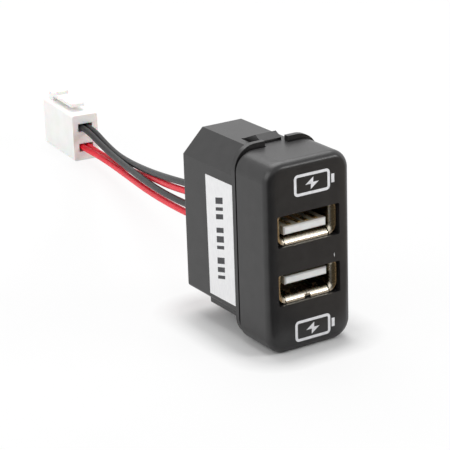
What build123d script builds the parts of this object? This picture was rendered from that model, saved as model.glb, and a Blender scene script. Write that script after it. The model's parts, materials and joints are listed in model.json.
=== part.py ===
from build123d import *
from math import atan, cos, degrees, pi, radians, sin, tan
import os

# Snap-in dashboard charger with two stacked ports and a short wire lead.
# Millimetres. X runs to the right seen from the front, Y to the back and Z up.
# The origin lies under the middle of the charger, on the surface that the bezel stands on.

# Front bezel, a moulded cap that is open at the back
bezel_width = 22.0
bezel_height = 44.0
bezel_depth = 11.5
bezel_corner_radius = 4.5
bezel_front_round = 1.5
bezel_wall = 1.6
bezel_front_wall = 2.0
shadow_gap = 0.5
shadow_gap_inset = 0.5
key_thickness = 1.2
key_clearance = 0.15
key_latch_gap = 0.3
tab_thickness = 1.2
tab_height = 5.0
tab_reach = 4.0
tab_root = 3.5
tab_clearance = 0.1

# Rear housing with its flange, snap latch and ledge
charger_depth = 34.8
flange_thickness = 1.3
flange_rise = 1.2
flange_corner_radius = 5.5
flange_notch_width = 6.0
housing_side_step = 0.45
housing_top_step = 0.4
housing_floor_gap = 0.98
housing_top_chamfer = 5.35
housing_bottom_round = 0.8
housing_rear_round = 0.6
housing_wall = 1.5
latch_notch_gap = 0.3
latch_length = 7.1
latch_front_rise = 0.9
latch_rise = 1.95
latch_slope = 2.1
latch_ramp = 4.8
latch_slit = 0.6
panel_thickness = 0.8
ledge_side_step = 0.85
ledge_length = 13.4
ledge_drop = 1.4
ledge_corner = 0.9
wire_slot_width = 3.0
wire_slot_height = 10.2
wire_slot_drop = 0.45
rail_depth = 1.0
rail_thickness = 1.0
rail_start_gap = 1.2
board_clearance = 0.1

# Sticker on the left side
label_length = 11.2
label_flange_gap = 0.25
label_bottom_gap = 1.5
label_top_gap = 2.3
label_thickness = 0.1
label_tilt = 0.7

# Ports, two alike; the upper one is the lower one turned over
port_pitch = 13.45
ports_rise = 0.15
port_inner_width = 12.5
port_inner_height = 5.12
port_corner = 0.8
port_length = 14.0
sheet = 0.3
lip_radius = 1.6
lip_turn = 80.0
lip_span = 11.5
lip_slit = 0.3
seam_width = 0.16
seam_notch_width = 1.6
seam_notch_depth = 0.4
window_gap = 0.4
window_margin = 0.74
window_drop = 0.5
window_corner = 0.4
window_wall = 0.8
lip_wall_gap = 0.1
pocket_gap = 0.15
finger_width = 1.5
finger_length = 6.0
finger_slit = 0.25
finger_spacing = 7.4
finger_setback = 0.1
finger_bow = 0.4
finger_crest = 1.0
finger_sheet = 0.22
leg_width = 1.6
leg_setback = 8.0
leg_below_board = 0.8

# White tongues and their contacts
tongue_width = 11.1
tongue_thickness = 1.84
tongue_gap = 0.65
tongue_setback = 0.5
tongue_chamfer = 0.3
block_length = 4.0
block_clearance = 0.08
contact_width = 1.0
contact_thickness = 0.25
contact_proud = 0.1
contact_setback = 1.0
contact_positions = (-3.5, -1.0, 1.0, 3.5)
contact_clearance = 0.03
contact_bend = 0.5
contact_tail_gap = 0.4
pin_hole = 1.3

# Converter boards and their parts
board_edge_gap = 0.25
board_thickness = 1.6
board_front_gap = 2.0
board_rear_gap = 2.2
parts_side_gap = 0.15
coil_setback = 2.4
coil_diameter = 5.6
coil_height = 4.6
coil_flange = 0.9
coil_core = 2.6
coil_winding = 5.0
coil_clearance = 0.05
can_setback = 2.7
can_spacing = 1.4
can_diameter = 5.0
can_height = 5.4
can_bevel = 0.4
can_groove = 0.3
can_groove_height = 1.5
chip_x = -3.4
chip_setback = 5.1
chip_width = 3.9
chip_length = 4.9
chip_height = 1.4
chip_lead_width = 0.42
chip_lead_pitch = 1.27
chip_lead_rows = (-1.5, -0.5, 0.5, 1.5)
chip_lead_reach = 1.0
chip_lead_thickness = 0.2
diode_x = 4.0
diode_setback = 5.4
diode_width = 2.6
diode_length = 4.3
diode_height = 2.1
diode_draft = 4.0
diode_tab_width = 1.5
diode_tab_reach = 0.5
diode_tab_thickness = 0.3

# Wires: hand-chosen points of each route, from the solder pad to the crimp
wire_diameter = 1.7
wire_routes = {
    "upper_black_wire": [
        (1.05, -1.4, 30.83), (1.05, 5.1, 30.83), (0.6, 13.4, 25.2), (0.5, 22.5, 24.9),
        (2.9, 36.0, 23.0), (7.1, 54.0, 19.0), (12.9, 74.0, 14.4), (18.6, 94.0, 10.4),
        (22.7, 110.0, 8.2), (24.9, 121.0, 8.5), (26.2, 129.0, 9.6), (26.9, 135.0, 9.8),
        (27.45, 140.5, 9.8),
    ],
    "upper_red_wire": [
        (-1.05, -1.4, 30.83), (-1.05, 5.1, 30.83), (-0.6, 13.4, 23.0), (0.3, 22.5, 22.7),
        (2.9, 36.0, 20.9), (7.1, 54.0, 17.0), (13.5, 74.0, 12.6), (19.1, 94.0, 7.9),
        (22.8, 110.0, 5.5), (24.9, 121.0, 4.4), (26.2, 129.0, 3.9), (26.9, 135.0, 3.8),
        (27.45, 140.5, 3.8),
    ],
    "lower_black_wire": [
        (1.05, -1.4, 13.47), (1.05, 5.1, 13.47), (0.6, 13.4, 20.4), (0.3, 22.5, 20.0),
        (2.9, 36.0, 17.3), (6.3, 54.0, 14.7), (11.3, 74.0, 12.1), (16.8, 94.0, 9.9),
        (20.9, 110.0, 8.5), (23.1, 121.0, 8.8), (24.4, 129.2, 9.7), (25.1, 135.2, 9.8),
        (25.65, 140.7, 9.8),
    ],
    "lower_red_wire": [
        (-1.05, -1.4, 13.47), (-1.05, 5.1, 13.47), (-0.6, 13.4, 18.2), (0.1, 22.5, 17.8),
        (2.9, 36.0, 15.0), (6.5, 54.0, 12.5), (11.6, 74.0, 9.6), (17.0, 94.0, 7.2),
        (21.0, 110.0, 5.5), (23.1, 121.0, 4.7), (24.4, 129.2, 4.0), (25.1, 135.2, 3.8),
        (25.65, 140.7, 3.8),
    ],
}
bend_share = 0.45

# Two-way wire connector, standing on its narrow side
connector_x = 26.0
connector_y = 135.0
connector_turn = degrees(atan(0.1))
connector_width = 7.8
connector_height = 13.6
connector_length = 23.0
connector_corner = 0.6
cell_pitch = 6.0
cell_side_gap = 0.3
cell_floor_gap = 0.2
cell_roof_gap = 0.5
wire_entry_width = 4.4
wire_entry_height = 2.4
wire_entry_depth = 3.0
latch_arm_width = 4.0
latch_arm_thickness = 1.0
latch_arm_gap = 1.2
latch_arm_root = 3.5
latch_arm_start = 5.0
latch_barb_rise = 0.9
latch_barb_length = 2.6
crimp_start = 5.7
crimp_width = 3.6
crimp_height = 1.9
crimp_length = 3.0
crimp_round = 0.6
neck_width = 2.0
neck_length = 1.4
blade_width = 4.2
blade_length = 8.5
blade_thickness = 0.4
blade_curl = 1.3

# Places that follow from the sizes above
front_y = -charger_depth / 2
rear_y = charger_depth / 2
bezel_middle_z = bezel_height / 2
bezel_rim_y = front_y + bezel_depth
flange_y = bezel_rim_y + shadow_gap
flange_rear_y = flange_y + flange_thickness
housing_half_width = bezel_width / 2 - housing_side_step
housing_top_z = bezel_height - housing_top_step
housing_inner_half = housing_half_width - housing_wall
ledge_width = 2 * (housing_half_width - ledge_side_step)
latch_y = flange_rear_y + panel_thickness
latch_width = flange_notch_width - 2 * latch_notch_gap
latch_ridge_y = latch_y + latch_slope
key_width = flange_notch_width - 2 * key_clearance
key_rear_y = latch_y - key_latch_gap
ports_middle_z = bezel_middle_z + ports_rise
port_z = ports_middle_z - port_pitch / 2
port_outer_width = port_inner_width + 2 * sheet
port_outer_height = port_inner_height + 2 * sheet
lip_reach = lip_radius * (1 - cos(radians(lip_turn)))
lip_depth = lip_radius * sin(radians(lip_turn)) + sheet / 2
mouth_width = port_inner_width + sheet + 2 * lip_reach
mouth_height = port_inner_height + sheet + 2 * lip_reach
window_width = mouth_width + 2 * window_gap
window_height = port_outer_height + 2 * window_margin
window_z = port_z - window_drop
mouth_y = front_y + window_wall + lip_wall_gap
lip_root_y = mouth_y + lip_depth
port_rear_y = mouth_y + port_length
board_top_z = port_z - port_outer_height / 2
board_bottom_z = board_top_z - board_thickness
diode_bottom_z = board_bottom_z - diode_tab_thickness - diode_height
housing_bottom_z = diode_bottom_z - housing_floor_gap - housing_wall
label_bottom_z = housing_bottom_z + label_bottom_gap
label_top_z = housing_top_z - housing_top_chamfer - label_top_gap
label_middle_y = flange_rear_y + label_flange_gap + label_length / 2
board_half_width = housing_inner_half - board_edge_gap
board_front_y = front_y + bezel_front_wall + board_front_gap
board_rear_y = rear_y - housing_wall - board_rear_gap
rail_inner_half = housing_inner_half - rail_depth
tongue_z = port_z + port_inner_height / 2 - tongue_gap - tongue_thickness / 2
contact_face_z = tongue_z - tongue_thickness / 2
contact_z = contact_face_z - contact_proud + contact_thickness / 2
tail_y = port_rear_y + contact_tail_gap + contact_thickness / 2
coil_x = parts_side_gap + coil_diameter / 2 - rail_inner_half
coil_y = port_rear_y + coil_setback + coil_diameter / 2
can_x = rail_inner_half - parts_side_gap - can_diameter / 2
can_input_y = port_rear_y + can_setback + can_diameter / 2
can_output_y = can_input_y + can_diameter + can_spacing
chip_y = port_rear_y + chip_setback + chip_length / 2
diode_y = port_rear_y + diode_setback + diode_length / 2
half_turn = Location((0, 0, 2 * ports_middle_z), (0, 180, 0))
connector_axis = Vector(sin(radians(connector_turn)), cos(radians(connector_turn)), 0)
connector_side = Vector(cos(radians(connector_turn)), -sin(radians(connector_turn)), 0)
connector_face = Plane((connector_x, connector_y, 0), x_dir=connector_side, z_dir=-connector_axis)
cell_heights = [connector_height / 2 + side * cell_pitch / 2 for side in (-1, 1)]
cell_width = blade_width + 2 * cell_side_gap
cell_height = crimp_height + cell_floor_gap + cell_roof_gap


def across(y):
    """Sketch plane across the charger at depth y, X to the right and Z up."""
    return Plane((0, y, 0), x_dir=(1, 0, 0), z_dir=(0, -1, 0))


def finish(name, piece):
    """Label a finished piece and write its file."""
    piece.part.label = name
    export_step(piece.part, f"parts/{name}.step")


os.makedirs("parts", exist_ok=True)

# Front bezel: rounded cap, hollow behind, with two windows, a pocket behind each for the port's lips,
# a stepped rim and a key on top
with BuildPart() as front_bezel:
    with BuildSketch(across(front_y)):
        with Locations((0, bezel_middle_z)):
            RectangleRounded(bezel_width, bezel_height, bezel_corner_radius)
    extrude(amount=-bezel_depth)
    fillet(front_bezel.faces().sort_by(Axis.Y)[0].edges(), bezel_front_round)
    with BuildSketch(across(bezel_rim_y)):
        with Locations((0, bezel_middle_z)):
            RectangleRounded(
                bezel_width - 2 * shadow_gap_inset,
                bezel_height - 2 * shadow_gap_inset,
                bezel_corner_radius - shadow_gap_inset,
            )
    extrude(amount=-shadow_gap)
    with BuildSketch(across(front_y + bezel_front_wall)):
        with Locations((0, bezel_middle_z)):
            RectangleRounded(
                bezel_width - 2 * bezel_wall,
                bezel_height - 2 * bezel_wall,
                bezel_corner_radius - bezel_wall,
            )
    extrude(amount=-(bezel_depth + shadow_gap - bezel_front_wall), mode=Mode.SUBTRACT)
    with BuildSketch(across(front_y)):
        with Locations((0, window_z), (0, window_z + port_pitch)):
            RectangleRounded(window_width, window_height, window_corner)
    extrude(amount=-bezel_front_wall, mode=Mode.SUBTRACT)
    with BuildSketch(across(front_y + window_wall)):
        with Locations((0, port_z), (0, port_z + port_pitch)):
            Rectangle(mouth_width + 2 * pocket_gap, mouth_height + 2 * pocket_gap)
    extrude(amount=window_wall - bezel_front_wall, mode=Mode.SUBTRACT)
    with BuildSketch(across(bezel_rim_y)):
        with Locations((0, bezel_height)):
            Rectangle(key_width, key_thickness, align=(Align.CENTER, Align.MAX))
    extrude(amount=-(key_rear_y - bezel_rim_y))
    tab_outer = housing_inner_half - tab_clearance
    tab_inner = tab_outer - tab_thickness
    with BuildSketch(Plane.XY.offset(ports_middle_z - tab_height / 2)):
        with BuildLine():
            Polyline(
                (tab_inner, flange_y - tab_root),
                (bezel_width / 2 - bezel_wall, flange_y - tab_root),
                (bezel_width / 2 - bezel_wall, flange_y),
                (tab_outer, flange_y),
                (tab_outer, flange_y + tab_reach),
                (tab_inner, flange_y + tab_reach),
                close=True,
            )
        make_face()
        mirror(about=Plane.YZ)
    extrude(amount=tab_height)
finish("front_bezel", front_bezel)

# Rear housing: chamfered box with a flange, a sprung latch on top and a ledge below
with BuildPart() as rear_housing:
    with BuildSketch(across(flange_y)):
        with Locations((0, (bezel_height + flange_rise) / 2)):
            RectangleRounded(bezel_width, bezel_height + flange_rise, flange_corner_radius)
    extrude(amount=-flange_thickness)
    with BuildSketch(across(flange_y)) as section:
        with Locations((0, (housing_top_z + housing_bottom_z) / 2)):
            Rectangle(2 * housing_half_width, housing_top_z - housing_bottom_z)
        chamfer(section.vertices().group_by(Axis.Y)[-1], housing_top_chamfer)
        fillet(section.vertices().group_by(Axis.Y)[0], housing_bottom_round)
    extrude(amount=-(rear_y - flange_y))
    fillet(rear_housing.faces().sort_by(Axis.Y)[-1].edges(), housing_rear_round)
    with BuildSketch(Plane.XY.offset(housing_bottom_z + housing_wall)) as ledge:
        with Locations((0, flange_rear_y)):
            Rectangle(ledge_width, ledge_length, align=(Align.CENTER, Align.MIN))
        fillet(ledge.vertices().group_by(Axis.Y)[-1], ledge_corner)
    extrude(amount=-(ledge_drop + housing_wall))
    with BuildSketch(Plane.YZ):
        with BuildLine():
            Polyline(
                (latch_y, housing_top_z - housing_wall),
                (latch_y, housing_top_z + latch_front_rise),
                (latch_ridge_y, housing_top_z + latch_rise),
                (latch_ridge_y + latch_ramp, housing_top_z),
                (latch_ridge_y + latch_ramp, housing_top_z - housing_wall),
                close=True,
            )
        make_face()
    extrude(amount=latch_width / 2, both=True)
    with BuildSketch(across(flange_y)):
        add(section.sketch_local)
        offset(amount=-housing_wall, kind=Kind.INTERSECTION, mode=Mode.REPLACE)
    extrude(amount=-(rear_y - flange_y - housing_wall), mode=Mode.SUBTRACT)
    with BuildSketch(Plane.XY.offset(housing_top_z)):
        with Locations((0, flange_rear_y)):
            Rectangle(
                latch_width + 2 * latch_slit,
                panel_thickness + latch_length,
                align=(Align.CENTER, Align.MIN),
            )
        with Locations((0, latch_y)):
            Rectangle(latch_width, latch_length, align=(Align.CENTER, Align.MIN), mode=Mode.SUBTRACT)
    extrude(amount=-housing_wall, mode=Mode.SUBTRACT)
    with BuildSketch(across(flange_y)):
        with Locations((0, bezel_height - key_thickness - key_clearance)):
            Rectangle(
                flange_notch_width,
                key_thickness + key_clearance + flange_rise,
                align=(Align.CENTER, Align.MIN),
            )
    extrude(amount=-flange_thickness, mode=Mode.SUBTRACT)
    rail_y = flange_rear_y + rail_start_gap
    with BuildSketch(across(rail_y)):
        for board_z in (board_top_z, 2 * ports_middle_z - board_bottom_z):
            with Locations((0, board_z - board_thickness / 2)):
                Rectangle(2 * housing_inner_half, board_thickness + 2 * (board_clearance + rail_thickness))
        with Locations((0, ports_middle_z)):
            Rectangle(2 * rail_inner_half, bezel_height, mode=Mode.SUBTRACT)
    extrude(amount=-(rear_y - housing_wall - rail_y))
    with BuildSketch(across(rail_y)):
        for board_z in (board_top_z, 2 * ports_middle_z - board_bottom_z):
            with Locations((0, board_z - board_thickness / 2)):
                Rectangle(2 * housing_inner_half, board_thickness + 2 * board_clearance)
    extrude(amount=-(board_rear_y + board_clearance - rail_y), mode=Mode.SUBTRACT)
    with BuildSketch(across(rear_y - housing_wall)):
        with Locations((0, ports_middle_z - wire_slot_drop)):
            SlotOverall(wire_slot_height, wire_slot_width, rotation=90)
    extrude(amount=-housing_wall, mode=Mode.SUBTRACT)
finish("rear_housing", rear_housing)

# Sticker on the left side of the housing
with BuildPart() as side_label:
    with BuildSketch(Plane.YZ.offset(-housing_half_width)):
        with Locations((label_middle_y, (label_bottom_z + label_top_z) / 2)):
            Rectangle(label_length, label_top_z - label_bottom_z, rotation=-label_tilt)
    extrude(amount=-label_thickness)
finish("side_label", side_label)

# Lower port: stamped frame with flared lips, spring fingers and board legs
with BuildPart() as port_frame:
    with BuildSketch(across(lip_root_y)):
        with Locations((0, port_z)):
            RectangleRounded(port_outer_width, port_outer_height, port_corner + sheet)
            RectangleRounded(port_inner_width, port_inner_height, port_corner, mode=Mode.SUBTRACT)
    extrude(amount=-(port_length - lip_depth))
    wall_z = (port_inner_height + sheet) / 2
    wall_x = (port_inner_width + sheet) / 2
    with BuildPart():
        with BuildLine(across(lip_root_y)) as lip_path:
            FilletPolyline(
                (0, port_z + wall_z),
                (wall_x, port_z + wall_z),
                (wall_x, port_z - wall_z),
                (0, port_z - wall_z),
                radius=port_corner + sheet / 2,
            )
        with BuildSketch(Plane.YZ):
            with BuildLine():
                JernArc((lip_root_y, port_z + wall_z), (-1, 0), lip_radius, -lip_turn)
            trace(line_width=sheet)
        sweep(path=lip_path.wire())
        mirror(about=Plane.YZ)
    with BuildSketch(Plane.XY.offset(port_z - port_outer_height)):
        with Locations((-lip_span / 2, lip_root_y), (lip_span / 2, lip_root_y)):
            Rectangle(lip_slit, lip_depth, align=(Align.CENTER, Align.MAX))
    extrude(amount=2 * port_outer_height, mode=Mode.SUBTRACT)
    finger_y = lip_root_y + finger_setback
    with BuildSketch(Plane.XY.offset(port_z - port_outer_height)):
        with Locations((-finger_spacing / 2, finger_y), (finger_spacing / 2, finger_y)):
            Rectangle(
                finger_width + 2 * finger_slit,
                finger_length + finger_slit,
                align=(Align.CENTER, Align.MIN),
            )
    extrude(amount=2 * port_outer_height, mode=Mode.SUBTRACT)
    for side in (-1, 1):
        for place in (-finger_spacing / 2, finger_spacing / 2):
            with BuildSketch(Plane.YZ.offset(place)):
                with BuildLine():
                    Polyline(
                        (finger_y + finger_length + 2 * finger_slit, port_z + side * wall_z),
                        (finger_y + finger_length, port_z + side * wall_z),
                        (finger_y + finger_crest, port_z + side * (wall_z - finger_bow)),
                        (finger_y + finger_slit, port_z + side * wall_z),
                    )
                trace(line_width=finger_sheet)
            extrude(amount=finger_width / 2, both=True)
    with BuildSketch(Plane.XY.offset(port_z)):
        with Locations((-wall_x, mouth_y + leg_setback), (wall_x, mouth_y + leg_setback)):
            Rectangle(sheet, leg_width)
    extrude(amount=board_bottom_z - leg_below_board - port_z)
    with BuildSketch(Plane.XY.offset(port_z - port_outer_height)):
        with Locations((0, mouth_y)):
            Rectangle(seam_width, port_length, align=(Align.CENTER, Align.MIN))
            Rectangle(seam_notch_width, 2 * seam_notch_depth)
    extrude(amount=port_outer_height, mode=Mode.SUBTRACT)

# White tongue with the block that closes the back of the frame
with BuildPart() as port_tongue:
    with BuildSketch(across(port_rear_y - block_length)):
        with Locations((0, port_z)):
            RectangleRounded(
                port_inner_width - 2 * block_clearance,
                port_inner_height - 2 * block_clearance,
                port_corner,
            )
    extrude(amount=-block_length)
    with BuildSketch(across(mouth_y + tongue_setback)):
        with Locations((0, tongue_z)):
            Rectangle(tongue_width, tongue_thickness)
    extrude(amount=-(port_length - block_length - tongue_setback))
    tip = port_tongue.faces().sort_by(Axis.Y)[0]
    chamfer(tip.edges(), tongue_chamfer)
    with BuildSketch(across(mouth_y + tongue_setback + contact_setback - contact_clearance)):
        with Locations(*[(x, contact_z) for x in contact_positions]):
            Rectangle(
                contact_width + 2 * contact_clearance,
                contact_thickness + 2 * contact_clearance,
            )
    extrude(amount=-port_length, mode=Mode.SUBTRACT)

# Four gold-plated contacts that run back over the tongue and down through the board
with BuildPart() as port_contacts:
    for x in contact_positions:
        with BuildSketch(Plane.YZ.offset(x)):
            with BuildLine():
                FilletPolyline(
                    (mouth_y + tongue_setback + contact_setback, contact_z),
                    (tail_y, contact_z),
                    (tail_y, board_bottom_z - leg_below_board),
                    radius=contact_bend,
                )
            trace(line_width=contact_thickness)
        extrude(amount=contact_width / 2, both=True)

# Converter board with pin holes and leg slots
with BuildPart() as board:
    with BuildSketch(Plane.XY.offset(board_top_z)):
        with Locations((0, board_front_y)):
            Rectangle(2 * board_half_width, board_rear_y - board_front_y, align=(Align.CENTER, Align.MIN))
        with Locations(*[(x, tail_y) for x in contact_positions]):
            Circle(pin_hole / 2, mode=Mode.SUBTRACT)
        with Locations((-wall_x, mouth_y + leg_setback), (wall_x, mouth_y + leg_setback)):
            Rectangle(
                sheet + 2 * board_clearance,
                leg_width + 2 * board_clearance,
                mode=Mode.SUBTRACT,
            )
    extrude(amount=-board_thickness)

# Choke: ferrite drum core and its copper winding
with BuildPart() as choke_core:
    with BuildSketch(Plane.XY.offset(board_top_z)):
        with Locations((coil_x, coil_y)):
            Circle(coil_diameter / 2)
    extrude(amount=coil_flange)
    with BuildSketch(Plane.XY.offset(board_top_z)):
        with Locations((coil_x, coil_y)):
            Circle(coil_core / 2)
    extrude(amount=coil_height)
    with BuildSketch(Plane.XY.offset(board_top_z + coil_height)):
        with Locations((coil_x, coil_y)):
            Circle(coil_diameter / 2)
    extrude(amount=-coil_flange)

with BuildPart() as choke_winding:
    with BuildSketch(Plane.XY.offset(board_top_z + coil_flange + coil_clearance)):
        with Locations((coil_x, coil_y)):
            Circle(coil_winding / 2)
            Circle(coil_core / 2 + coil_clearance, mode=Mode.SUBTRACT)
    extrude(amount=coil_height - 2 * (coil_flange + coil_clearance))


def capacitor(y):
    """Aluminium can with a bevelled top and a crimp groove, standing on the board at depth y."""
    with BuildPart() as can:
        with BuildSketch(Plane.XY.offset(board_top_z)):
            with Locations((can_x, y)):
                Circle(can_diameter / 2)
        extrude(amount=can_height)
        chamfer(can.faces().sort_by(Axis.Z)[-1].edges(), can_bevel)
        with BuildSketch(Plane.XY.offset(board_top_z + can_groove_height)):
            with Locations((can_x, y)):
                Circle(can_diameter)
                Circle(can_diameter / 2 - can_groove, mode=Mode.SUBTRACT)
        extrude(amount=2 * can_groove, mode=Mode.SUBTRACT)
    return can


# Controller chip under the board, with four bent leads on each side
with BuildPart() as chip:
    with BuildSketch(Plane.XY.offset(board_bottom_z - chip_lead_thickness / 2)):
        with Locations((chip_x, chip_y)):
            Rectangle(chip_width, chip_length)
    extrude(amount=-chip_height)
    lead_reach = chip_width / 2 + chip_lead_reach
    lead_z = board_bottom_z - chip_lead_thickness / 2
    with BuildSketch(Plane.XZ.offset(-chip_y)) as lead:
        for side in (-1, 1):
            with BuildLine():
                Polyline(
                    (chip_x + side * lead_reach, lead_z),
                    (chip_x + side * (chip_width / 2 + chip_lead_reach / 2), lead_z),
                    (chip_x + side * (chip_width / 2 + chip_lead_reach / 2), lead_z - chip_height / 2),
                    (chip_x + side * chip_width / 4, lead_z - chip_height / 2),
                )
            trace(line_width=chip_lead_thickness)
    for row in chip_lead_rows:
        with BuildSketch(Plane.XZ.offset(-chip_y - row * chip_lead_pitch)):
            add(lead.sketch_local)
        extrude(amount=chip_lead_width / 2, both=True)

# Rectifier diode under the board, with a folded tab at each end
with BuildPart() as diode:
    with BuildSketch(Plane.XY.offset(board_bottom_z - diode_tab_thickness)):
        with Locations((diode_x, diode_y)):
            Rectangle(diode_width, diode_length)
    extrude(amount=-diode_height, taper=diode_draft)
    with BuildSketch(Plane.XY.offset(board_bottom_z)):
        with Locations((diode_x, diode_y)):
            Rectangle(diode_tab_width, diode_length + 2 * diode_tab_reach)
    extrude(amount=-diode_tab_thickness)

# Each module piece is written once as built and once turned over for the upper port
module = {
    "port_frame": port_frame,
    "port_tongue": port_tongue,
    "port_contacts": port_contacts,
    "circuit_board": board,
    "choke_core": choke_core,
    "choke_winding": choke_winding,
    "input_capacitor": capacitor(can_input_y),
    "output_capacitor": capacitor(can_output_y),
    "controller_chip": chip,
    "rectifier_diode": diode,
}
for name, lower in module.items():
    with BuildPart() as upper:
        with Locations(half_turn):
            add(lower.part)
    finish(f"lower_{name}", lower)
    finish(f"upper_{name}", upper)

# Wires: straight runs joined by arcs as large as the runs allow
for name, points in wire_routes.items():
    places = [Vector(*point) for point in points]
    runs = [after - before for before, after in zip(places, places[1:])]
    turns = [first.get_angle(second) for first, second in zip(runs, runs[1:])]
    bends = [
        bend_share * min(first.length, second.length) / tan(radians(turn / 2))
        for first, second, turn in zip(runs, runs[1:], turns)
    ]
    with BuildPart() as wire:
        with BuildLine() as route:
            FilletPolyline(*points, radius=bends)
        with BuildSketch(Plane(route.line @ 0, z_dir=route.line % 0)):
            Circle(wire_diameter / 2)
        sweep()
    finish(name, wire)
    length = route.wires()[0].length
    section_volume = length * pi * wire_diameter**2 / 4
    print(name, "length", round(length, 1), "tightest bend", round(min(bends), 1))
    print("  bends", [round(bend, 1) for bend in bends])
    print("  volume over section times length", round(wire.part.volume / section_volume, 4))

# Connector housing: two cells, wire entries and a latch arm on its upper edge
with BuildPart() as connector_housing:
    with BuildSketch(connector_face):
        with Locations((0, connector_height / 2)):
            RectangleRounded(connector_width, connector_height, connector_corner)
    extrude(amount=-connector_length)
    with BuildSketch(connector_face):
        with Locations(*[(0, z) for z in cell_heights]):
            Rectangle(wire_entry_width, wire_entry_height)
    extrude(amount=-wire_entry_depth, mode=Mode.SUBTRACT)
    with BuildSketch(connector_face.offset(-wire_entry_depth)):
        with Locations(*[(0, z - crimp_height / 2 - cell_floor_gap) for z in cell_heights]):
            Rectangle(cell_width, cell_height, align=(Align.CENTER, Align.MIN))
    extrude(amount=wire_entry_depth - connector_length, mode=Mode.SUBTRACT)
    arm_bottom = connector_height + latch_arm_gap
    arm_top = arm_bottom + latch_arm_thickness
    barb_end = connector_length - latch_arm_root - latch_barb_length
    with BuildSketch(Plane(connector_face.origin, x_dir=connector_axis, z_dir=connector_side)):
        with BuildLine():
            Polyline(
                (connector_length, connector_height),
                (connector_length, arm_bottom),
                (connector_length - latch_arm_thickness, arm_top),
                (barb_end + latch_barb_length, arm_top),
                (barb_end, arm_top + latch_barb_rise),
                (barb_end, arm_top),
                (latch_arm_start, arm_top),
                (latch_arm_start, arm_bottom),
                (connector_length - latch_arm_root, arm_bottom),
                (connector_length - latch_arm_root, connector_height),
                close=True,
            )
        make_face()
    extrude(amount=latch_arm_width / 2, both=True)
finish("connector_housing", connector_housing)

# Brass terminals: a crimped barrel, a neck and a receptacle with curled edges
with BuildPart() as connector_terminals:
    for z in cell_heights:
        with BuildSketch(connector_face.offset(-crimp_start)):
            with Locations((0, z)):
                RectangleRounded(crimp_width, crimp_height, crimp_round)
        extrude(amount=-crimp_length)
        blade_z = z - crimp_height / 2
        with BuildSketch(connector_face.offset(-crimp_start - crimp_length)):
            with Locations((0, blade_z)):
                Rectangle(neck_width, blade_thickness, align=(Align.CENTER, Align.MIN))
        extrude(amount=-neck_length)
        with BuildSketch(connector_face.offset(-crimp_start - crimp_length - neck_length)):
            with Locations((0, blade_z)):
                Rectangle(blade_width, blade_curl, align=(Align.CENTER, Align.MIN))
            with Locations((0, blade_z + blade_thickness)):
                Rectangle(
                    blade_width - 2 * blade_thickness,
                    blade_curl - 2 * blade_thickness,
                    align=(Align.CENTER, Align.MIN),
                    mode=Mode.SUBTRACT,
                )
            with Locations((0, blade_z + blade_curl)):
                Rectangle(blade_thickness, blade_curl, mode=Mode.SUBTRACT)
        extrude(amount=-blade_length)
finish("connector_terminals", connector_terminals)
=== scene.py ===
"""Looks of a snap-in dashboard charger with two stacked ports and a short wire lead."""

import json
import math

import bmesh
import bpy
from mathutils import Matrix, Vector


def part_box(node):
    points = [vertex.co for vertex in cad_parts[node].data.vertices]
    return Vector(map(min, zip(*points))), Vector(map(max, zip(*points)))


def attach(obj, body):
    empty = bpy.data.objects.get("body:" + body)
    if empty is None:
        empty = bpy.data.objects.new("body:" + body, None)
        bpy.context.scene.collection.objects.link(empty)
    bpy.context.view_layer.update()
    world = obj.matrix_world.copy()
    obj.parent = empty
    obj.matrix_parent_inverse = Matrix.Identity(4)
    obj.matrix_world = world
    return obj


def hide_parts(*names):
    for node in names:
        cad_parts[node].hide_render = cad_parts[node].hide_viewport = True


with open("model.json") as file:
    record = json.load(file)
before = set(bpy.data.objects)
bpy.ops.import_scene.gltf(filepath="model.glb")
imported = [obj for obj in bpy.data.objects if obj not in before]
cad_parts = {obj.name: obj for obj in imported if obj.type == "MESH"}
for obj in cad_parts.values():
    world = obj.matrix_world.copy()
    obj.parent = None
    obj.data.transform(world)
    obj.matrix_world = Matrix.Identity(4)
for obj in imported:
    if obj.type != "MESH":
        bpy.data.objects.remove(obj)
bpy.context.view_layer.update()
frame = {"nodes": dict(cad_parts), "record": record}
nodes = frame["nodes"]
bezel_low, bezel_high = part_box("front_bezel")
label_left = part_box("side_label")[0].x
housing_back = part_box("rear_housing")[1].y

MM = 0.001
RIGHT = Vector((1, 0, 0))
BACK = Vector((0, 1, 0))
UP = Vector((0, 0, 1))
WHITE = (1, 1, 1, 1)

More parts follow.
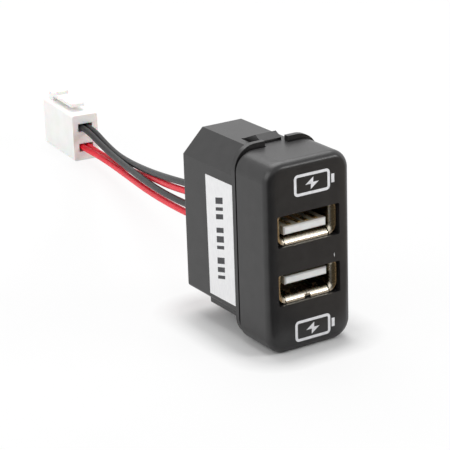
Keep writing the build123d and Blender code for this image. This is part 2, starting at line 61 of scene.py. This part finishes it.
# Wire lead: each route's points, in metres, from solder pad to crimp
WIRE_DIAMETER = 1.7 * MM
WIRE_ROUNDNESS = 7
WIRE_STEPS = 10
WIRE_ROUTES = {
    "upper_black_wire": [
        (0.00105, -0.0014, 0.03083), (0.00105, 0.0051, 0.03083), (0.0006, 0.0134, 0.0252),
        (0.0005, 0.0225, 0.0249), (0.0029, 0.036, 0.023), (0.0071, 0.054, 0.019),
        (0.0129, 0.074, 0.0144), (0.0186, 0.094, 0.0104), (0.0227, 0.11, 0.0082),
        (0.0249, 0.121, 0.0085), (0.0262, 0.129, 0.0096), (0.0269, 0.135, 0.0098),
        (0.02745, 0.1405, 0.0098),
    ],
    "upper_red_wire": [
        (-0.00105, -0.0014, 0.03083), (-0.00105, 0.0051, 0.03083), (-0.0006, 0.0134, 0.023),
        (0.0003, 0.0225, 0.0227), (0.0029, 0.036, 0.0209), (0.0071, 0.054, 0.017),
        (0.0135, 0.074, 0.0126), (0.0191, 0.094, 0.0079), (0.0228, 0.11, 0.0055),
        (0.0249, 0.121, 0.0044), (0.0262, 0.129, 0.0039), (0.0269, 0.135, 0.0038),
        (0.02745, 0.1405, 0.0038),
    ],
    "lower_black_wire": [
        (0.00105, -0.0014, 0.01347), (0.00105, 0.0051, 0.01347), (0.0006, 0.0134, 0.0204),
        (0.0003, 0.0225, 0.02), (0.0029, 0.036, 0.0173), (0.0063, 0.054, 0.0147),
        (0.0113, 0.074, 0.0121), (0.0168, 0.094, 0.0099), (0.0209, 0.11, 0.0085),
        (0.0231, 0.121, 0.0088), (0.0244, 0.1292, 0.0097), (0.0251, 0.1352, 0.0098),
        (0.02565, 0.1407, 0.0098),
    ],
    "lower_red_wire": [
        (-0.00105, -0.0014, 0.01347), (-0.00105, 0.0051, 0.01347), (-0.0006, 0.0134, 0.0182),
        (0.0001, 0.0225, 0.0178), (0.0029, 0.036, 0.015), (0.0065, 0.054, 0.0125),
        (0.0116, 0.074, 0.0096), (0.017, 0.094, 0.0072), (0.021, 0.11, 0.0055),
        (0.0231, 0.121, 0.0047), (0.0244, 0.1292, 0.004), (0.0251, 0.1352, 0.0038),
        (0.02565, 0.1407, 0.0038),
    ],
}

# Charge signs printed on the bezel's front: the middle of each across and up, and a battery's outline
INK_THICKNESS = 0.02 * MM
SIGN_PLACES = {
    "upper_charge_sign": (1.0 * MM, 38.0 * MM),
    "lower_charge_sign": (0.6 * MM, 4.4 * MM),
}
SIGN_WIDTH = 9.4 * MM
SIGN_HEIGHT = 4.9 * MM
SIGN_CORNER = 1.0 * MM
SIGN_LINE = 0.65 * MM
SIGN_NUB_WIDTH = 0.8 * MM
SIGN_NUB_HEIGHT = 2.0 * MM
SIGN_NUB_GAP = 0.35 * MM
CORNER_STEPS = 8

# First half of the bolt in the sign, from its top; the other half is the same shape turned half round
BOLT_HALF = [(0.35 * MM, 1.35 * MM), (-1.75 * MM, -0.15 * MM), (-0.3 * MM, -0.15 * MM)]

# Slanted bars printed on the sticker, from the top down: the widths in each group, and the gaps
BAR_GROUPS = (
    (1.5 * MM, 0.8 * MM, 1.2 * MM),
    (1.2 * MM, 1.5 * MM, 0.8 * MM),
    (1.5 * MM, 1.2 * MM, 0.8 * MM),
)
BAR_GAP = 0.8 * MM
BAR_GROUP_GAP = 2.0 * MM
BAR_LENGTH = 3.0 * MM
BAR_SLANT = math.radians(14)
BARS_TOP = 31.8 * MM
BARS_MIDDLE = 2.0 * MM

# Small pale mark on the bezel's front, right of the ports
PALE_MARK_PLACE = (6.6 * MM, 20.2 * MM)
PALE_MARK_LENGTH = 1.1 * MM
PALE_MARK_WIDTH = 0.2 * MM

# Painted shade inside the ports, on the port frames and on the tongues: where each starts and is full
# along Y, and its shade
PORT_SHADE_START = -15.85 * MM
PORT_SHADE_END = -15.1 * MM
PAINTED_PORT_SHADE = (0.20, 0.165, 0.125)
TONGUE_SHADE_START = -15.95 * MM
TONGUE_SHADE_END = -15.3 * MM
PAINTED_TONGUE_SHADE = (0.54, 0.47, 0.36)

# Painted brown reflection at both sides of the port frames: where it starts and is full along X, and its
# tint
SIDE_REFLECTION_START = 6.62 * MM
SIDE_REFLECTION_END = 6.9 * MM
PAINTED_SIDE_REFLECTION = (0.66, 0.53, 0.35)

# Soft crown of the bezel's front towards its rim
CROWN_CORNER = 4.5 * MM
CROWN_WIDTH = 4.2 * MM
CROWN_HEIGHT = 0.85 * MM
CROWN_POWER = 3.0

# Textures: the part of their range that colours and numbers follow, and how far roughness varies
TEXTURE_LOW = 0.3
TEXTURE_HIGH = 0.7
METAL_SPREAD = 0.14
DULL_SPREAD = 0.12
GRAINS_PER_MOTTLE = 4

# Camera, from the edges of the bezel, ports and housing in the photograph
CAMERA_PLACE = Vector((-0.2140, -0.32947, 0.16422))
CAMERA_RIGHT = Vector((0.84440379, -0.53476499, -0.03175902))
CAMERA_DOWN = Vector((-0.20533245, -0.26832764, -0.94119013))
CAMERA_FORWARD = Vector((0.49479371, 0.80126567, -0.33638149))
CAMERA_LENS = 148.686
CAMERA_SENSOR = 36.0

# Floor: how far from the object's footprint it turns white by itself, partly near it and wholly far out
FLOOR_HALF = 3.0
FLOOR_DROP = 0.02 * MM
FOOTPRINT_CORNER = 3 * MM
WHITENING_START = 3 * MM
WHITENING_END = 9.5 * MM
WHITENED_SHARE = 0.85
FAR_START = 150 * MM
FAR_END = 600 * MM

# Levels of the white surroundings, as light and as seen
DOME_LEVEL = 0.46
BACKGROUND_LEVEL = 1.0

# Dark room in front, seen only in reflections: its edge near the object, and the degrees that it spans
ROOM_LIFT = 1.5 * MM
ROOM_NEAR = {
    "room_left": [(-27.0 * MM, -20.0 * MM), (-6.0 * MM, -25.5 * MM), (4.0 * MM, -24.5 * MM)],
    "room_right": [(4.0 * MM, -24.5 * MM), (24.0 * MM, -22.0 * MM), (60.0 * MM, -4.0 * MM)],
}
ROOM_TURNS = {"room_left": (-78, 14), "room_right": (14, 88)}
ROOM_DISTANCE = 0.46
ROOM_HEIGHT = 0.25
ROOM_STEPS = 8


class Look:
    """A node material: its shader, and short calls for the textures that feed it."""

    def __init__(self, name):
        self.material = bpy.data.materials.new(name)
        self.material.use_nodes = True
        tree = self.material.node_tree
        self.nodes = tree.nodes
        self.links = tree.links
        self.shader = self.nodes["Principled BSDF"]
        self.place = self.nodes.new("ShaderNodeTexCoord").outputs["Object"]

    def put(self, **values):
        """Set constant values on the shader's own sockets; underscores stand for spaces."""
        for name, value in values.items():
            self.shader.inputs[name.replace("_", " ")].default_value = value

    def feed(self, name, output):
        """Link an output to one of the shader's sockets."""
        self.links.new(output, self.shader.inputs[name])

    def stretched(self, stretch):
        """Object coordinates scaled along each axis."""
        mapping = self.nodes.new("ShaderNodeMapping")
        mapping.inputs["Scale"].default_value = stretch
        self.links.new(self.place, mapping.inputs["Vector"])
        return mapping.outputs["Vector"]

    def noise(self, scale, detail=3, stretch=(1, 1, 1)):
        """Noise with about scale bumps in a metre."""
        texture = self.nodes.new("ShaderNodeTexNoise")
        texture.inputs["Scale"].default_value = scale
        texture.inputs["Detail"].default_value = detail
        self.links.new(self.stretched(stretch), texture.inputs["Vector"])
        return texture.outputs["Fac"]

    def grains(self, scale):
        """Distance to the nearest of many scattered grains."""
        texture = self.nodes.new("ShaderNodeTexVoronoi")
        texture.inputs["Scale"].default_value = scale
        self.links.new(self.place, texture.inputs["Vector"])
        return texture.outputs["Distance"]

    def bands(self, scale, axis):
        """Even bands across one axis."""
        texture = self.nodes.new("ShaderNodeTexWave")
        texture.bands_direction = axis
        texture.inputs["Scale"].default_value = scale
        self.links.new(self.place, texture.inputs["Vector"])
        return texture.outputs["Fac"]

    def colours(self, factor, low, high):
        """Colour that runs from low to high with a texture's middle range."""
        ramp = self.nodes.new("ShaderNodeValToRGB")
        ramp.color_ramp.elements[0].position = TEXTURE_LOW
        ramp.color_ramp.elements[0].color = (*low, 1)
        ramp.color_ramp.elements[1].position = TEXTURE_HIGH
        ramp.color_ramp.elements[1].color = (*high, 1)
        self.links.new(factor, ramp.inputs["Fac"])
        return ramp.outputs["Color"]

    def ranged(self, factor, start, stop, low=0.0, high=1.0):
        """Number that runs from low to high while a factor runs from start to stop."""
        span = self.nodes.new("ShaderNodeMapRange")
        span.inputs["From Min"].default_value = start
        span.inputs["From Max"].default_value = stop
        span.inputs["To Min"].default_value = low
        span.inputs["To Max"].default_value = high
        self.links.new(factor, span.inputs["Value"])
        return span.outputs["Result"]

    def values(self, factor, low, high):
        """Number that runs from low to high with a texture's middle range."""
        return self.ranged(factor, TEXTURE_LOW, TEXTURE_HIGH, low, high)

    def split(self):
        """Object coordinates one by one."""
        parts = self.nodes.new("ShaderNodeSeparateXYZ")
        self.links.new(self.place, parts.inputs["Vector"])
        return parts.outputs

    def shaded(self, colour, factor, shade):
        """Colour multiplied by a shade as far as a factor says."""
        mix = self.nodes.new("ShaderNodeMix")
        mix.data_type = "RGBA"
        mix.blend_type = "MULTIPLY"
        self.links.new(factor, mix.inputs["Factor"])
        self.links.new(colour, mix.inputs["A"])
        mix.inputs["B"].default_value = (*shade, 1)
        return mix.outputs["Result"]

    def reckon(self, operation, first, second=0.0):
        """Result of an operation on outputs or plain numbers."""
        step = self.nodes.new("ShaderNodeMath")
        step.operation = operation
        for socket, value in zip(step.inputs, (first, second)):
            if isinstance(value, float):
                socket.default_value = value
            else:
                self.links.new(value, socket)
        return step.outputs["Value"]

    def inset(self, low, high, corner, axes="XZ"):
        """How far in a point lies from the rounded outline of a box, seen along the third axis."""
        places = self.split()
        beyond = []
        for axis in axes:
            start = getattr(low, axis.lower())
            stop = getattr(high, axis.lower())
            from_middle = self.reckon("SUBTRACT", places[axis], (start + stop) / 2)
            off = self.reckon("ABSOLUTE", from_middle)
            beyond.append(self.reckon("SUBTRACT", off, (stop - start) / 2 - corner))
        outside = [self.reckon("MAXIMUM", value, 0.0) for value in beyond]
        squares = [self.reckon("MULTIPLY", value, value) for value in outside]
        reach = self.reckon("SQRT", self.reckon("ADD", *squares))
        inside = self.reckon("MINIMUM", self.reckon("MAXIMUM", *beyond), 0.0)
        return self.reckon("SUBTRACT", corner, self.reckon("ADD", reach, inside))

    def relief(self, height, strength, depth, under=None):
        """Bump of a given depth in metres, over an earlier one where there is one."""
        bump = self.nodes.new("ShaderNodeBump")
        bump.inputs["Strength"].default_value = strength
        bump.inputs["Distance"].default_value = depth
        self.links.new(height, bump.inputs["Height"])
        if under:
            self.links.new(under, bump.inputs["Normal"])
        self.links.new(bump.outputs["Normal"], self.shader.inputs["Normal"])
        return bump.outputs["Normal"]


def crown(look, node):
    """Bump that curves a node's front off towards its rounded rim."""
    inset = look.inset(*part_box(node), CROWN_CORNER)
    to_rim = look.reckon("SUBTRACT", 1.0, look.ranged(inset, 0.0, CROWN_WIDTH))
    height = look.reckon("SUBTRACT", 1.0, look.reckon("POWER", to_rim, CROWN_POWER))
    return look.relief(height, strength=1.0, depth=CROWN_HEIGHT)


def black_moulding(name, crowned=None):
    """Satin black moulded casing with a fine eroded grain, and a soft crown on a named node's front."""
    look = Look(name)
    look.put(IOR=1.46)
    cloud = look.noise(scale=350)
    look.feed("Base Color", look.colours(cloud, low=(0.016, 0.0156, 0.016), high=(0.022, 0.0214, 0.0217)))
    grain = look.noise(scale=5200, detail=4)
    look.feed("Roughness", look.values(grain, low=0.30, high=0.38))
    curved = crown(look, crowned) if crowned else None
    flow = look.relief(look.noise(scale=160, detail=1), strength=0.15, depth=0.05 * MM, under=curved)
    look.relief(grain, strength=0.22, depth=0.02 * MM, under=flow)
    return look.material


def nickel_plate():
    """Bright nickel on stamped sheet, with rolling lines along its depth, a painted brown reflection at
    its sides and painted shade inside the port.
    """
    look = Look("nickel_plate")
    look.put(Metallic=1.0)
    cloud = look.noise(scale=420, detail=5)
    plate = look.colours(cloud, low=(0.64, 0.585, 0.48), high=(0.76, 0.715, 0.61))
    # Painted reflection: the nickel turns brown at both sides of the frame
    beside = look.ranged(look.reckon("ABSOLUTE", look.split()["X"]), SIDE_REFLECTION_START, SIDE_REFLECTION_END)
    side_reflected = look.shaded(plate, beside, PAINTED_SIDE_REFLECTION)
    # Painted shade: the nickel darkens deeper inside the port
    inside = look.ranged(look.split()["Y"], PORT_SHADE_START, PORT_SHADE_END)
    look.feed("Base Color", look.shaded(side_reflected, inside, PAINTED_PORT_SHADE))
    lines = look.noise(scale=2600, detail=2, stretch=(1, 0.08, 1))
    look.feed("Roughness", look.values(lines, low=0.20, high=0.29))
    look.relief(lines, strength=0.12, depth=0.01 * MM)
    return look.material


def white_moulding():
    """White tongue moulding, slightly see-through at its edges, with painted brown shade inside the port.
    """
    look = Look("white_moulding")
    look.put(IOR=1.5, Subsurface_Weight=0.12, Subsurface_Scale=0.5 * MM)
    cloud = look.noise(scale=500)
    white = look.colours(cloud, low=(0.78, 0.78, 0.77), high=(0.86, 0.86, 0.85))
    # Painted shade: the tongue turns darker and browner deeper inside the port
    tongue_shade = look.ranged(look.split()["Y"], TONGUE_SHADE_START, TONGUE_SHADE_END)
    look.feed("Base Color", look.shaded(white, tongue_shade, PAINTED_TONGUE_SHADE))
    grain = look.noise(scale=4200)
    look.feed("Roughness", look.values(grain, low=0.36, high=0.46))
    look.relief(grain, strength=0.1, depth=0.01 * MM)
    return look.material


def plated_metal(name, dark, light, rough):
    """Thin plating or drawn metal with worn, cloudy colour and fine drawing lines."""
    look = Look(name)
    look.put(Metallic=1.0)
    look.feed("Base Color", look.colours(look.noise(scale=900, detail=5), dark, light))
    lines = look.noise(scale=3800, detail=2, stretch=(1, 0.15, 1))
    look.feed("Roughness", look.values(lines, rough, rough + METAL_SPREAD))
    look.relief(lines, strength=0.1, depth=0.01 * MM)
    return look.material


def copper_winding():
    """Enamelled turns of copper wire on the choke's core."""
    look = Look("copper_winding")
    look.put(Metallic=1.0)
    turns = look.bands(scale=1000, axis="Z")
    look.feed("Base Color", look.colours(turns, low=(0.30, 0.10, 0.04), high=(0.72, 0.33, 0.14)))
    look.feed("Roughness", look.values(look.noise(scale=2500), low=0.2, high=0.34))
    look.relief(turns, strength=0.6, depth=0.08 * MM)
    return look.material


def mottled(name, dark, light, rough, scale):
    """Dull surface with mottled colour and a fine grain, such as resin, ferrite, ink or cloth."""
    look = Look(name)
    look.feed("Base Color", look.colours(look.noise(scale, detail=5), dark, light))
    grain = look.grains(GRAINS_PER_MOTTLE * scale)
    look.feed("Roughness", look.values(grain, rough, rough + DULL_SPREAD))
    look.relief(grain, strength=0.15, depth=0.01 * MM)
    return look.material


def sticker_paper():
    """Coated white sticker with faint fibres."""
    look = Look("sticker_paper")
    look.put(IOR=1.45)
    fibres = look.noise(scale=1800, detail=6, stretch=(1, 1, 0.35))
    look.feed("Base Color", look.colours(fibres, low=(0.80, 0.80, 0.81), high=(0.87, 0.87, 0.875)))
    look.feed("Roughness", look.values(fibres, low=0.42, high=0.52))
    look.relief(fibres, strength=0.12, depth=0.01 * MM)
    return look.material


def wire_insulation(name, dark, light):
    """Smooth extruded insulation with faint streaks along the wire."""
    look = Look(name)
    look.put(IOR=1.3)
    streaks = look.noise(scale=900, stretch=(1, 0.12, 1))
    look.feed("Base Color", look.colours(streaks, dark, light))
    look.feed("Roughness", look.values(look.noise(scale=2600), low=0.36, high=0.48))
    look.relief(streaks, strength=0.12, depth=0.02 * MM)
    return look.material


def natural_nylon():
    """Natural white connector nylon, soft and a little see-through."""
    look = Look("natural_nylon")
    look.put(IOR=1.53, Subsurface_Weight=0.35, Subsurface_Scale=1.2 * MM)
    cloud = look.noise(scale=260)
    look.feed("Base Color", look.colours(cloud, low=(0.86, 0.855, 0.83), high=(0.90, 0.895, 0.88)))
    grain = look.noise(scale=3600)
    look.feed("Roughness", look.values(grain, low=0.38, high=0.5))
    look.relief(grain, strength=0.14, depth=0.015 * MM)
    return look.material


# Materials of the record's slots
LOOKS = {
    "black_abs": black_moulding("black_moulding"),
    "nickel_plate": nickel_plate(),
    "white_nylon": white_moulding(),
    "gold_plate": plated_metal(
        "gold_plate", dark=(0.66, 0.44, 0.16), light=(0.90, 0.67, 0.31), rough=0.2
    ),
    "circuit_laminate": mottled(
        "circuit_laminate", dark=(0.02, 0.12, 0.045), light=(0.05, 0.22, 0.09), rough=0.36, scale=700
    ),
    "ferrite": mottled(
        "ferrite", dark=(0.05, 0.05, 0.055), light=(0.11, 0.11, 0.12), rough=0.55, scale=1500
    ),
    "copper_wire": copper_winding(),
    "aluminium_can": plated_metal(
        "aluminium_can", dark=(0.62, 0.63, 0.65), light=(0.80, 0.81, 0.83), rough=0.26
    ),
    "chip_resin": mottled(
        "chip_resin", dark=(0.018, 0.018, 0.02), light=(0.035, 0.035, 0.037), rough=0.5, scale=1200
    ),
    "label_paper": sticker_paper(),
    "black_pvc": wire_insulation("black_pvc", dark=(0.012, 0.012, 0.013), light=(0.02, 0.02, 0.021)),
    "red_pvc": wire_insulation("red_pvc", dark=(0.72, 0.008, 0.024), light=(0.84, 0.016, 0.04)),
    "connector_nylon": natural_nylon(),
    "brass": plated_metal(
        "brass", dark=(0.50, 0.34, 0.13), light=(0.76, 0.56, 0.27), rough=0.24
    ),
}

# Materials of single pieces and of the room
BEZEL_LOOK = black_moulding("bezel_moulding", crowned="front_bezel")
WHITE_INK = mottled(
    "white_ink", dark=(0.72, 0.72, 0.74), light=(0.84, 0.84, 0.86), rough=0.5, scale=900
)
DARK_INK = mottled(
    "dark_ink", dark=(0.022, 0.022, 0.026), light=(0.045, 0.045, 0.05), rough=0.5, scale=900
)
PALE_MARK_LOOK = mottled(
    "pale_mark", dark=(0.55, 0.55, 0.56), light=(0.82, 0.82, 0.84), rough=0.4, scale=3000
)
ROOM_LOOKS = {
    "room_left": mottled(
        "dark_cloth", dark=(0.024, 0.024, 0.0245), light=(0.045, 0.0445, 0.045), rough=0.8, scale=30
    ),
    "room_right": mottled(
        "brown_wood", dark=(0.27, 0.23, 0.195), light=(0.37, 0.32, 0.275), rough=0.7, scale=12
    ),
}

for part in frame["record"]["subparts"]:
    shown = nodes[part["node"]].data
    shown.materials.clear()
    shown.materials.append(BEZEL_LOOK if part["node"] == "front_bezel" else LOOKS[part["material_slot"]])


def added(name, data):
    """New object in the scene."""
    thing = bpy.data.objects.new(name, data)
    bpy.context.scene.collection.objects.link(thing)
    return thing


def rounded_outline(width, height, radius):
    """Points round a rectangle with rounded corners, about its middle."""
    points = []
    corners = [(1, 1, 0), (-1, 1, 90), (-1, -1, 180), (1, -1, 270)]
    for across, up, start in corners:
        for step in range(CORNER_STEPS + 1):
            angle = math.radians(start + 90 * step / CORNER_STEPS)
            x = across * (width / 2 - radius) + radius * math.cos(angle)
            z = up * (height / 2 - radius) + radius * math.sin(angle)
            points.append((x, z))
    return points


def printed(name, shapes, origin, along, up, material):
    """Thin ink on a flat face: each shape is an outline, or a pair of an outline and its hole."""
    mesh = bmesh.new()
    outward = along.cross(up)

    def loop(points, lift):
        return [mesh.verts.new(origin + along * x + up * z + outward * lift) for x, z in points]

    def band(first, second):
        for index in range(len(first)):
            after = (index + 1) % len(first)
            mesh.faces.new((first[index], first[after], second[after], second[index]))

    for shape in shapes:
        outline, hole = shape if isinstance(shape, tuple) else (shape, None)
        low = loop(outline, 0)
        high = loop(outline, INK_THICKNESS)
        band(low, high)
        if hole:
            hole_low = loop(hole, 0)
            hole_high = loop(hole, INK_THICKNESS)
            band(high, hole_high)
            band(hole_high, hole_low)
            band(hole_low, low)
        else:
            mesh.faces.new(high)
            mesh.faces.new(list(reversed(low)))
    bmesh.ops.recalc_face_normals(mesh, faces=mesh.faces)
    data = bpy.data.meshes.new(name)
    mesh.to_mesh(data)
    mesh.free()
    data.materials.append(material)
    piece = added(name, data)
    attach(piece, "root")


def battery_sign():
    """Shapes of a battery with a charge bolt in it, about the sign's middle."""
    inner_width = SIGN_WIDTH - 2 * SIGN_LINE
    inner_height = SIGN_HEIGHT - 2 * SIGN_LINE
    body = (
        rounded_outline(SIGN_WIDTH, SIGN_HEIGHT, SIGN_CORNER),
        rounded_outline(inner_width, inner_height, SIGN_CORNER - SIGN_LINE),
    )
    nub_start = SIGN_WIDTH / 2 + SIGN_NUB_GAP
    nub_end = nub_start + SIGN_NUB_WIDTH
    nub_top = SIGN_NUB_HEIGHT / 2
    nub = [(nub_start, -nub_top), (nub_end, -nub_top), (nub_end, nub_top), (nub_start, nub_top)]
    bolt = BOLT_HALF + [(-x, -z) for x, z in BOLT_HALF]
    return [body, nub, bolt]


def slanted_bars():
    """Shapes of the sticker's bars, from the top of the first one down."""
    bars = []
    half = BAR_LENGTH / 2
    lean = half * math.tan(BAR_SLANT)
    top = 0
    for group in BAR_GROUPS:
        for width in group:
            low = top - width
            bars.append([(-half, low - lean), (half, low + lean), (half, top + lean), (-half, top - lean)])
            top = low - BAR_GAP
        top += BAR_GAP - BAR_GROUP_GAP
    return bars


def on_front(place):
    """Point on the bezel's front."""
    x, z = place
    return Vector((x, bezel_low.y, z))


for sign, place in SIGN_PLACES.items():
    printed(sign, battery_sign(), on_front(place), RIGHT, UP, WHITE_INK)

# A small pale mark, drawn as thin light ink on the bezel's front
pale_mark = [(0, -PALE_MARK_LENGTH / 2), (PALE_MARK_WIDTH / 2, 0), (0, PALE_MARK_LENGTH / 2), (-PALE_MARK_WIDTH / 2, 0)]
printed("bezel_pale_mark", [pale_mark], on_front(PALE_MARK_PLACE), RIGHT, UP, PALE_MARK_LOOK)

bars_place = Vector((label_left, BARS_MIDDLE, BARS_TOP))
printed("sticker_bars", slanted_bars(), bars_place, -BACK, UP, DARK_INK)


def wire_line(name, route, material):
    """Smooth round curve with a route's points as its control points."""
    line = bpy.data.curves.new(name, "CURVE")
    line.dimensions = "3D"
    spline = line.splines.new("NURBS")
    spline.points.add(len(route) - 1)
    for point, place in zip(spline.points, route):
        point.co = (*place, 1)
    spline.order_u = 3
    spline.use_endpoint_u = True
    line.resolution_u = WIRE_STEPS
    line.bevel_depth = WIRE_DIAMETER / 2
    line.bevel_resolution = WIRE_ROUNDNESS
    line.use_fill_caps = True
    line.materials.append(material)
    return line


def leaving_place(route):
    """Point where a route passes the back of the housing."""
    runs = zip(route, route[1:])
    before, after = next(run for run in runs if run[0][1] <= housing_back < run[1][1])
    share = (housing_back - before[1]) / (after[1] - before[1])
    return Vector(before).lerp(Vector(after), share)


for name, route in WIRE_ROUTES.items():
    slot = "black_pvc" if "black" in name else "red_pvc"
    wire = added(f"{name}_insulation", wire_line(f"{name}_line", route, LOOKS[slot]))
    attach(wire, "root")
    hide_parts(name)
    leaving_place(route)


def seen_rays(tree):
    """Output that is 1 for rays of the eye, gloss or glass and 0 for the rest."""
    path = tree.nodes.new("ShaderNodeLightPath")
    seen = path.outputs["Is Camera Ray"]
    for kind in ("Is Glossy Ray", "Is Transmission Ray"):
        either = tree.nodes.new("ShaderNodeMath")
        either.operation = "MAXIMUM"
        tree.links.new(seen, either.inputs[0])
        tree.links.new(path.outputs[kind], either.inputs[1])
        seen = either.outputs["Value"]
    return seen


def floor_material():
    """Plain pale floor with a faint mottle, which turns white by itself away from the object."""
    look = Look("floor")
    look.put(Roughness=0.7, IOR=1.3)
    mottle = look.noise(scale=40)
    look.feed("Base Color", look.colours(mottle, low=(0.78, 0.78, 0.78), high=(0.81, 0.81, 0.81)))
    tree = look.material.node_tree
    footprint_end = Vector((bezel_high.x, housing_back, 0))
    inset = look.inset(bezel_low, footprint_end, FOOTPRINT_CORNER, axes="XY")
    away = look.reckon("MULTIPLY", inset, -1.0)
    round_object = look.ranged(away, WHITENING_START, WHITENING_END, high=WHITENED_SHARE)
    far_out = look.ranged(away, FAR_START, FAR_END)
    share = look.reckon("MULTIPLY", seen_rays(tree), look.reckon("MAXIMUM", round_object, far_out))
    own_white = tree.nodes.new("ShaderNodeEmission")
    own_white.inputs["Strength"].default_value = BACKGROUND_LEVEL
    mix = tree.nodes.new("ShaderNodeMixShader")
    tree.links.new(share, mix.inputs["Fac"])
    tree.links.new(look.shader.outputs["BSDF"], mix.inputs[1])
    tree.links.new(own_white.outputs["Emission"], mix.inputs[2])
    tree.links.new(mix.outputs["Shader"], tree.nodes["Material Output"].inputs["Surface"])
    return look.material


floor_mesh = bpy.data.meshes.new("floor")
floor_sides = [(-1, -1), (1, -1), (1, 1), (-1, 1)]
floor_corners = [(FLOOR_HALF * x, FLOOR_HALF * y, -FLOOR_DROP) for x, y in floor_sides]
floor_mesh.from_pydata(floor_corners, [], [(0, 1, 2, 3)])
floor_mesh.materials.append(floor_material())
added("floor", floor_mesh)


def room_side(name, near, turns, material):
    """Card low over the floor in front and the wall at its far edge, seen by glossy surfaces alone."""
    first, last = turns
    far = []
    for step in range(ROOM_STEPS + 1):
        turn = math.radians(first + (last - first) * step / ROOM_STEPS)
        far.append((ROOM_DISTANCE * math.sin(turn), -ROOM_DISTANCE * math.cos(turn)))
    points = [(x, y, ROOM_LIFT) for x, y in near + far[::-1]]
    faces = [list(range(len(points)))]
    wall_start = len(points)
    points += [(x, y, ROOM_LIFT) for x, y in far]
    points += [(x, y, ROOM_HEIGHT) for x, y in far]
    for step in range(ROOM_STEPS):
        low = wall_start + step
        high = low + len(far)
        faces.append((low, low + 1, high + 1, high))
    data = bpy.data.meshes.new(name)
    data.from_pydata(points, [], faces)
    data.materials.append(material)
    side = added(name, data)
    side.visible_camera = False
    side.visible_diffuse = False
    side.visible_transmission = False
    side.visible_shadow = False


for name, near in ROOM_NEAR.items():
    room_side(name, near, ROOM_TURNS[name], ROOM_LOOKS[name])


def softbox(name, place, target, width, height, power):
    """Rectangular soft light that faces a target, in metres and watts."""
    light = bpy.data.lights.new(name, "AREA")
    light.shape = "RECTANGLE"
    light.size = width
    light.size_y = height
    light.energy = power
    lamp = added(name, light)
    lamp.location = place
    lamp.rotation_euler = (Vector(target) - Vector(place)).to_track_quat("-Z", "Y").to_euler()


softbox("overhead", place=(0.15, 0.4, 0.8), target=(0, 0, 0.02), width=0.7, height=0.7, power=5.4)
softbox("left_side", place=(-0.68, 0.12, 0.45), target=(0, 0.02, 0.02), width=0.7, height=0.5, power=2.4)
softbox("front_right", place=(0.5, -0.47, 0.43), target=(0, 0, 0.02), width=0.4, height=0.11, power=2.1)


def white_surroundings():
    """World that is white where the eye, gloss or glass sees it, and softer as light."""
    world = bpy.data.worlds.new("surroundings")
    world.use_nodes = True
    tree = world.node_tree
    tree.nodes.clear()
    mix = tree.nodes.new("ShaderNodeMixShader")
    tree.links.new(seen_rays(tree), mix.inputs["Fac"])
    for socket, level in zip(mix.inputs[1:], (DOME_LEVEL, BACKGROUND_LEVEL)):
        background = tree.nodes.new("ShaderNodeBackground")
        background.inputs["Color"].default_value = WHITE
        background.inputs["Strength"].default_value = level
        tree.links.new(background.outputs["Background"], socket)
    output = tree.nodes.new("ShaderNodeOutputWorld")
    tree.links.new(mix.outputs["Shader"], output.inputs["Surface"])
    return world


bpy.context.scene.world = white_surroundings()

camera_data = bpy.data.cameras.new("camera")
camera_data.lens = CAMERA_LENS
camera_data.sensor_width = CAMERA_SENSOR
camera = added("camera", camera_data)
camera_turn = Matrix((CAMERA_RIGHT, -CAMERA_DOWN, -CAMERA_FORWARD)).transposed()
camera.matrix_world = Matrix.Translation(CAMERA_PLACE) @ camera_turn.to_4x4()
bpy.context.scene.camera = camera
bpy.context.scene.view_settings.view_transform = "Standard"
